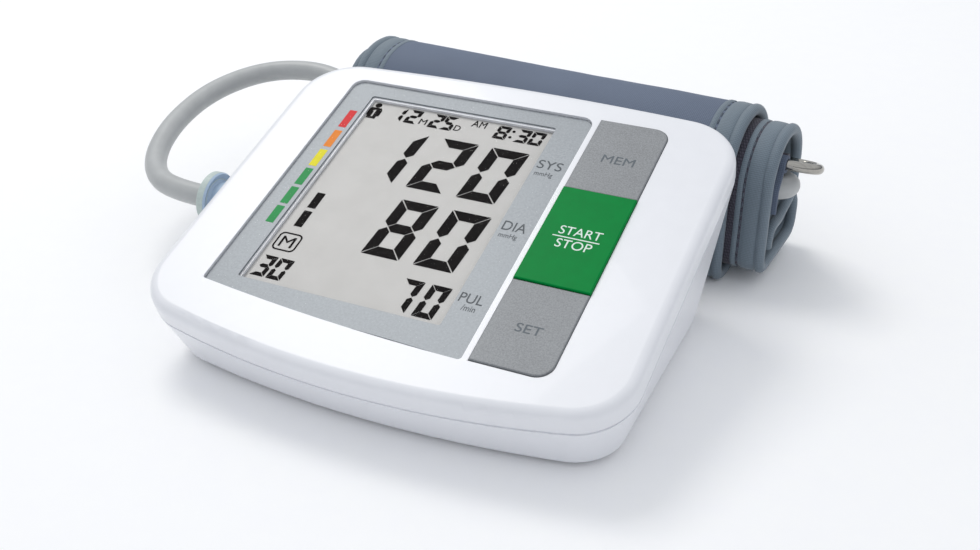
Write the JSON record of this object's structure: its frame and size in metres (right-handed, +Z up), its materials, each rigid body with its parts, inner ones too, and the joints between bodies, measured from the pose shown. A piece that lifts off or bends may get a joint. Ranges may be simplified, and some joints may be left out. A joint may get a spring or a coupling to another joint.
{
  "type": "upper-arm blood pressure monitor with rolled cuff",
  "caption": "Wedge-shaped blood pressure monitor with a large display and a column of keys, an air hose plugged into its side, and its rolled fabric arm cuff lying behind it.",
  "frame": {"origin": "on the standing surface, under the middle of the box round the monitor and the rolled cuff, leaving out the hose and its plug", "axes": "+Z up, +X to the user's right, +Y to the rear, away from the keys"},
  "size_m": [0.2311, 0.1798, 0.0603],
  "materials": {
    "case_plastic": "satin gloss moulded",
    "lens": "clear with printed border",
    "lcd": "reflective display",
    "foil": "matt foil",
    "inner_plastic": "moulded",
    "elastomer": "matt",
    "foam": "soft",
    "board": "solder resist",
    "chip": "moulded",
    "key_grey": "speckled metallic",
    "key_green": "satin",
    "plunger": "moulded",
    "motor_steel": "zinc plated",
    "inner_tube": "soft translucent",
    "fitting": "moulded pale grey",
    "jack": "moulded",
    "cell": "plain sleeve",
    "cover_fabric": "short pile slate",
    "lining_fabric": "dark mesh",
    "bladder": "film",
    "binding_tape": "ribbed tape",
    "hook": "hook tape",
    "ring_metal": "polished",
    "hose": "smooth soft PVC"
  },
  "bodies": {
    "monitor": {"top_cover": "case_plastic", "bottom_case": "case_plastic", "display_lens": "lens", "lcd_glass": "lcd", "lcd_reflector": "foil", "lcd_frame": "inner_plastic", "zebra_strips": "elastomer", "circuit_board": "board", "key_switches": "chip", "controller_chip": "chip", "memory_chip": "chip", "buzzer": "inner_plastic", "pressure_sensor": "inner_plastic", "pump_motor": "motor_steel", "pump_cushion": "foam", "pump_housing": "inner_plastic", "pump_diaphragm": "elastomer", "pump_cap": "inner_plastic", "air_tee": "inner_plastic", "release_valve": "inner_plastic", "pump_tube": "inner_tube", "valve_tube": "inner_tube", "socket_tube": "inner_tube", "air_socket": "fitting", "power_jack": "jack", "batteries": "cell", "contact_plates": "motor_steel", "contact_springs": "motor_steel", "case_screws": "motor_steel", "board_screws": "motor_steel", "rubber_feet": "elastomer"},
    "set_key": {"set_key": "key_grey", "set_plunger": "plunger"},
    "start_stop_key": {"start_stop_key": "key_green", "start_stop_plunger": "plunger"},
    "memory_key": {"memory_key": "key_grey", "memory_plunger": "plunger"},
    "battery_door": {"battery_door": "case_plastic"},
    "pump_rotor": {"pump_shaft": "motor_steel", "pump_eccentric": "plunger"},
    "valve_plunger": {"valve_plunger": "motor_steel"},
    "cuff": {"cuff_cover": "cover_fabric", "cuff_lining": "lining_fabric", "cuff_bladder": "bladder", "flap_binding_right": "binding_tape", "flap_binding_left": "binding_tape", "body_binding_right": "binding_tape", "body_binding_left": "binding_tape", "hook_patch": "hook", "ring_tunnel": "lining_fabric", "cuff_port": "fitting", "air_hose": "hose", "air_plug": "fitting", "plug_seal": "elastomer"},
    "cuff_ring": {"cuff_ring": "ring_metal", "ring_sleeve": "lining_fabric"}
  },
  "joints": [
    {"name": "set_key_press", "type": "slide", "parent": "monitor", "child": "set_key", "axis": [0, 0.299, -0.9542], "range_m": [0, 0.00035], "stiffness_N_per_m": 4000},
    {"name": "start_stop_key_press", "type": "slide", "parent": "monitor", "child": "start_stop_key", "axis": [0, 0.299, -0.9542], "range_m": [0, 0.00035], "stiffness_N_per_m": 4000},
    {"name": "memory_key_press", "type": "slide", "parent": "monitor", "child": "memory_key", "axis": [0, 0.299, -0.9542], "range_m": [0, 0.00035], "stiffness_N_per_m": 4000},
    {"name": "battery_door_hinge", "type": "hinge", "parent": "monitor", "child": "battery_door", "pos_m": [-0.00758, -0.01697, 0.001], "axis": [-1, 0, 0], "range_deg": [0, 80]},
    {"name": "pump_spin", "type": "hinge", "parent": "monitor", "child": "pump_rotor", "pos_m": [0.01242, -0.03347, 0.0144], "axis": [1, 0, 0], "continuous": true},
    {"name": "valve_plunger_slide", "type": "slide", "parent": "monitor", "child": "valve_plunger", "axis": [0, 1, 0], "range_m": [0, 0.0008], "stiffness_N_per_m": 400},
    {"name": "air_plug_pull", "type": "slide", "parent": "monitor", "child": "cuff", "axis": [-1, 0, 0], "range_m": [0, 0.015]},
    {"name": "ring_swing", "type": "hinge", "parent": "cuff", "child": "cuff_ring", "pos_m": [0.00591, 0.05476, 0.04202], "axis": [0.9976, -0.0698, 0], "range_deg": [0, 24]}
  ]
}
